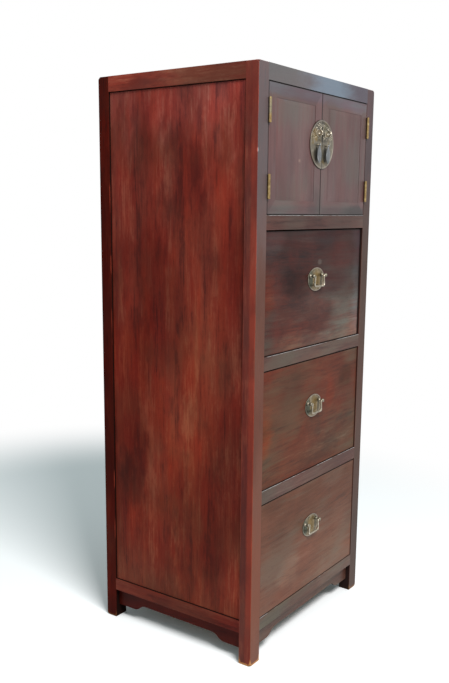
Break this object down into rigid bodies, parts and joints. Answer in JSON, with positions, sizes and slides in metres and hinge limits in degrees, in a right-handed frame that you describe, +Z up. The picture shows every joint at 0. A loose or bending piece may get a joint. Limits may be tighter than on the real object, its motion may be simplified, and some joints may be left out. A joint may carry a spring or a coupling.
{
  "type": "chinese wedding cabinet",
  "caption": "Tall lacquered hardwood cabinet with a hinged-door cupboard above deep stacked drawers, brass plates, bail and leaf pulls, and shaped aprons between its legs.",
  "frame": {"origin": "on the floor, in the middle of the object's width and of its depth, brass included", "axes": "+Z up, +X to the right as seen from the front, +Y towards the back"},
  "size_m": [0.61, 0.525, 1.524],
  "materials": {
    "lacquered_wood": "dark red-brown lacquer over hardwood, satin, rubbed through at the corners",
    "inner_wood": "plain planed softwood, waxed",
    "aged_brass": "aged brown-green brass, bright on the rubbed edges",
    "hinge_brass": "bright polished brass"
  },
  "bodies": {
    "case": {"post_front_left": "lacquered_wood", "post_front_right": "lacquered_wood", "post_rear_left": "lacquered_wood", "post_rear_right": "lacquered_wood", "front_bottom_rail": "lacquered_wood", "front_rail_lower": "lacquered_wood", "front_rail_middle": "lacquered_wood", "front_rail_upper": "lacquered_wood", "front_top_rail": "lacquered_wood", "rear_bottom_rail": "lacquered_wood", "rear_top_rail": "lacquered_wood", "side_bottom_rail_left": "lacquered_wood", "side_bottom_rail_right": "lacquered_wood", "side_top_rail_left": "lacquered_wood", "side_top_rail_right": "lacquered_wood", "front_apron": "lacquered_wood", "side_apron_left": "lacquered_wood", "side_apron_right": "lacquered_wood", "side_panel_left": "lacquered_wood", "side_panel_right": "lacquered_wood", "back_panel": "inner_wood", "top_panel": "lacquered_wood", "bottom_board": "inner_wood", "cupboard_floor": "inner_wood", "drawer_runners_left": "inner_wood", "drawer_runners_right": "inner_wood", "hinge_case_leaves": "hinge_brass", "hinge_pins": "hinge_brass"},
    "door_left": {"door_left_frame": "lacquered_wood", "door_left_panel": "lacquered_wood", "lock_plate_left": "aged_brass", "lock_eye_left": "aged_brass", "pull_staple_left": "aged_brass", "hinge_leaves_left": "hinge_brass"},
    "pull_left": {"pull_left": "aged_brass"},
    "door_right": {"door_right_frame": "lacquered_wood", "door_right_panel": "lacquered_wood", "lock_plate_right": "aged_brass", "lock_eye_right": "aged_brass", "pull_staple_right": "aged_brass", "hinge_leaves_right": "hinge_brass"},
    "pull_right": {"pull_right": "aged_brass"},
    "drawer_1": {"drawer_1_front": "lacquered_wood", "drawer_1_box": "inner_wood", "drawer_1_bottom": "inner_wood", "drawer_1_handle_plate": "aged_brass", "drawer_1_bail_posts": "aged_brass"},
    "bail_1": {"drawer_1_bail": "aged_brass"},
    "drawer_2": {"drawer_2_front": "lacquered_wood", "drawer_2_box": "inner_wood", "drawer_2_bottom": "inner_wood", "drawer_2_handle_plate": "aged_brass", "drawer_2_bail_posts": "aged_brass"},
    "bail_2": {"drawer_2_bail": "aged_brass"},
    "drawer_3": {"drawer_3_front": "lacquered_wood", "drawer_3_box": "inner_wood", "drawer_3_bottom": "inner_wood", "drawer_3_handle_plate": "aged_brass", "drawer_3_bail_posts": "aged_brass"},
    "bail_3": {"drawer_3_bail": "aged_brass"}
  },
  "joints": [
    {"name": "door_left_swing", "type": "hinge", "parent": "case", "child": "door_left", "pos_m": [-0.261, -0.2498, 1.327], "axis": [0, 0, -1], "range_deg": [0, 180]},
    {"name": "pull_left_swing", "type": "hinge", "parent": "door_left", "child": "pull_left", "pos_m": [-0.0235, -0.2535, 1.351], "axis": [-1, 0, 0], "range_deg": [-4, 140]},
    {"name": "door_right_swing", "type": "hinge", "parent": "case", "child": "door_right", "pos_m": [0.261, -0.2498, 1.327], "axis": [0, 0, 1], "range_deg": [0, 180]},
    {"name": "pull_right_swing", "type": "hinge", "parent": "door_right", "child": "pull_right", "pos_m": [0.0235, -0.2535, 1.351], "axis": [-1, 0, 0], "range_deg": [-4, 140]},
    {"name": "drawer_1_slide", "type": "slide", "parent": "case", "child": "drawer_1", "axis": [0, -1, 0], "range_m": [0, 0.36]},
    {"name": "bail_1_swing", "type": "hinge", "parent": "drawer_1", "child": "bail_1", "pos_m": [0, -0.252, 1.01], "axis": [-1, 0, 0], "range_deg": [-13, 190]},
    {"name": "drawer_2_slide", "type": "slide", "parent": "case", "child": "drawer_2", "axis": [0, -1, 0], "range_m": [0, 0.36]},
    {"name": "bail_2_swing", "type": "hinge", "parent": "drawer_2", "child": "bail_2", "pos_m": [0, -0.2545, 0.66], "axis": [-1, 0, 0], "range_deg": [-13, 190]},
    {"name": "drawer_3_slide", "type": "slide", "parent": "case", "child": "drawer_3", "axis": [0, -1, 0], "range_m": [0, 0.36]},
    {"name": "bail_3_swing", "type": "hinge", "parent": "drawer_3", "child": "bail_3", "pos_m": [0, -0.256, 0.31], "axis": [-1, 0, 0], "range_deg": [-13, 190]}
  ]
}
